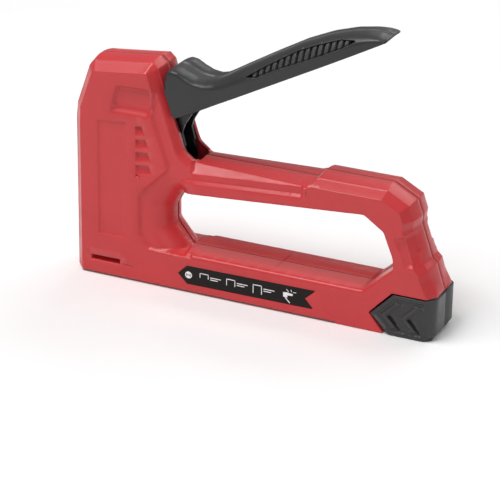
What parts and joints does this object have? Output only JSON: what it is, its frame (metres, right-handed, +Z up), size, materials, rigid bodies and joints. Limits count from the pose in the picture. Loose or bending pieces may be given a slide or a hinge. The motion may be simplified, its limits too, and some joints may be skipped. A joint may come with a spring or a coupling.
{
  "type": "manual staple gun",
  "caption": "Light-duty manual staple gun with a red moulded two-part body, a dark sprung squeeze lever and a rear-loading staple magazine.",
  "frame": {"origin": "centre of the overall box in X and Y, on the plane of the sole", "axes": "+X from the nose to the end cap, along the tool; +Y across the shells, towards the right-hand shell with the screw heads; +Z up, from the sole to the lever"},
  "size_m": [0.181, 0.028, 0.136],
  "materials": {
    "red_plastic": "satin",
    "grey_plastic": "satin",
    "label": "gloss",
    "grip_pad": "matte",
    "rubber": "matte",
    "sheet_steel": "satin",
    "plated_steel": "polished",
    "spring_steel": "satin"
  },
  "bodies": {
    "root": {"left_shell": "red_plastic", "right_shell": "red_plastic", "left_label": "label", "right_label": "label", "nose_plate": "plated_steel", "drive_guide": "sheet_steel", "bumper": "rubber", "spring_seat": "grey_plastic", "power_spring": "spring_steel", "lever_pin": "plated_steel", "pin_clips": "spring_steel", "magazine_channel": "sheet_steel", "frame_pins": "plated_steel", "latch_pin": "plated_steel", "shell_screws": "spring_steel"},
    "lever": {"lever_grip": "grey_plastic", "lever_frame": "sheet_steel", "left_grip_insert": "grip_pad", "right_grip_insert": "grip_pad", "lever_rivets": "plated_steel", "lift_roller": "plated_steel", "lever_spring": "spring_steel"},
    "striker": {"striker": "sheet_steel", "driver_blade": "plated_steel", "blade_rivets": "plated_steel"},
    "magazine": {"magazine_rail": "plated_steel", "pusher_rod": "plated_steel", "end_cap": "grey_plastic", "rail_rivets": "plated_steel", "latch_spring": "spring_steel", "pusher_spring": "spring_steel"},
    "pusher": {"pusher": "grey_plastic"}
  },
  "joints": [
    {"name": "lever_hinge", "type": "hinge", "parent": "root", "child": "lever", "pos_m": [-0.0445, 0, 0.062], "axis": [0, 1, 0], "range_deg": [0, 27], "stiffness_Nm_per_rad": 0.6, "springref_deg": -20.05},
    {"name": "striker_slide", "type": "slide", "parent": "root", "child": "striker", "axis": [0, 0, 1], "range_m": [0, 0.0145], "deforming": ["power_spring"]},
    {"name": "magazine_slide", "type": "slide", "parent": "root", "child": "magazine", "axis": [1, 0, 0], "range_m": [0, 0.1]},
    {"name": "pusher_slide", "type": "slide", "parent": "magazine", "child": "pusher", "axis": [1, 0, 0], "range_m": [0, 0.095], "stiffness_N_per_m": 20, "springref_m": -0.03, "deforming": ["pusher_spring"]}
  ],
  "couplings": [
    {"joint": "striker_slide", "follows": "lever_hinge", "m_per_rad": 0.0303}
  ]
}
